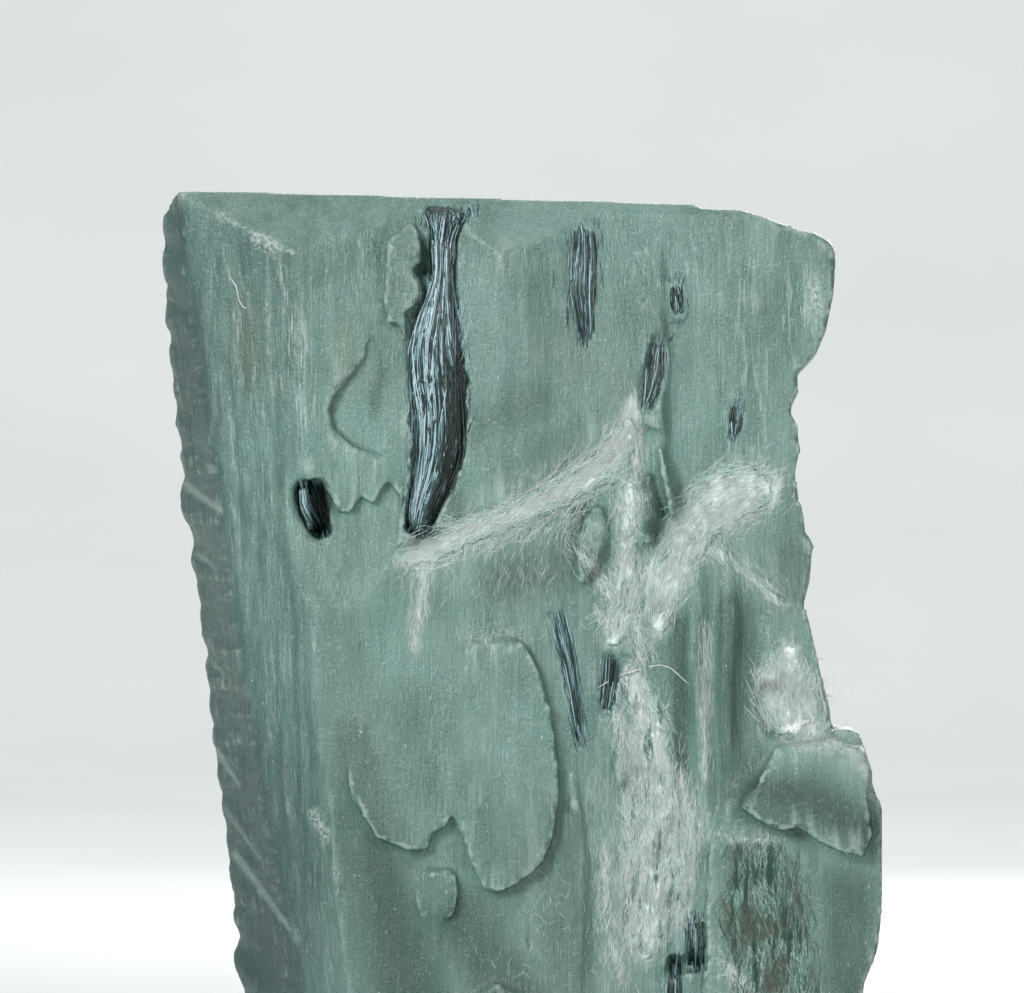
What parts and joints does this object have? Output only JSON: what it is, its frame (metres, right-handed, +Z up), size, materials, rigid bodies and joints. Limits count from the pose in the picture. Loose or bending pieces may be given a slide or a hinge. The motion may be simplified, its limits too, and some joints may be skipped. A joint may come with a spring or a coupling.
{
  "type": "adularia crystal with byssolite",
  "caption": "Wedge-topped, striated adularia crystal with stepped growth plates on a flat cut base, with dark byssolite needles in slots and pale byssolite felts.",
  "frame": {"origin": "under the middle of the specimen's box, on the flat cut that it stands on", "axes": "+Z up along the crystal, the good face with the byssolite looks along -Y, +X to the right of a viewer facing it"},
  "size_m": [0.0434, 0.0272, 0.062],
  "materials": {
    "adularia": "translucent grey-green, satin, finely striated",
    "byssolite_needles": "dark blue-green, silky along the needles",
    "byssolite_felt": "whitish, matted hairs"
  },
  "bodies": {
    "root": {"adularia_crystal": "adularia", "byssolite_main_bundle": "byssolite_needles", "byssolite_top_needles": "byssolite_needles", "byssolite_small_needle": "byssolite_needles", "byssolite_middle_blade": "byssolite_needles", "byssolite_left_tuft": "byssolite_needles", "byssolite_right_sliver": "byssolite_needles", "byssolite_lower_blade": "byssolite_needles", "byssolite_centre_needle": "byssolite_needles", "byssolite_low_needles": "byssolite_needles", "byssolite_low_vein": "byssolite_needles", "byssolite_felt_arc": "byssolite_felt", "byssolite_felt_spine": "byssolite_felt", "byssolite_felt_fan": "byssolite_felt", "byssolite_felt_column": "byssolite_felt", "byssolite_felt_patch": "byssolite_felt", "byssolite_felt_corner": "byssolite_felt"}
  },
  "joints": []
}
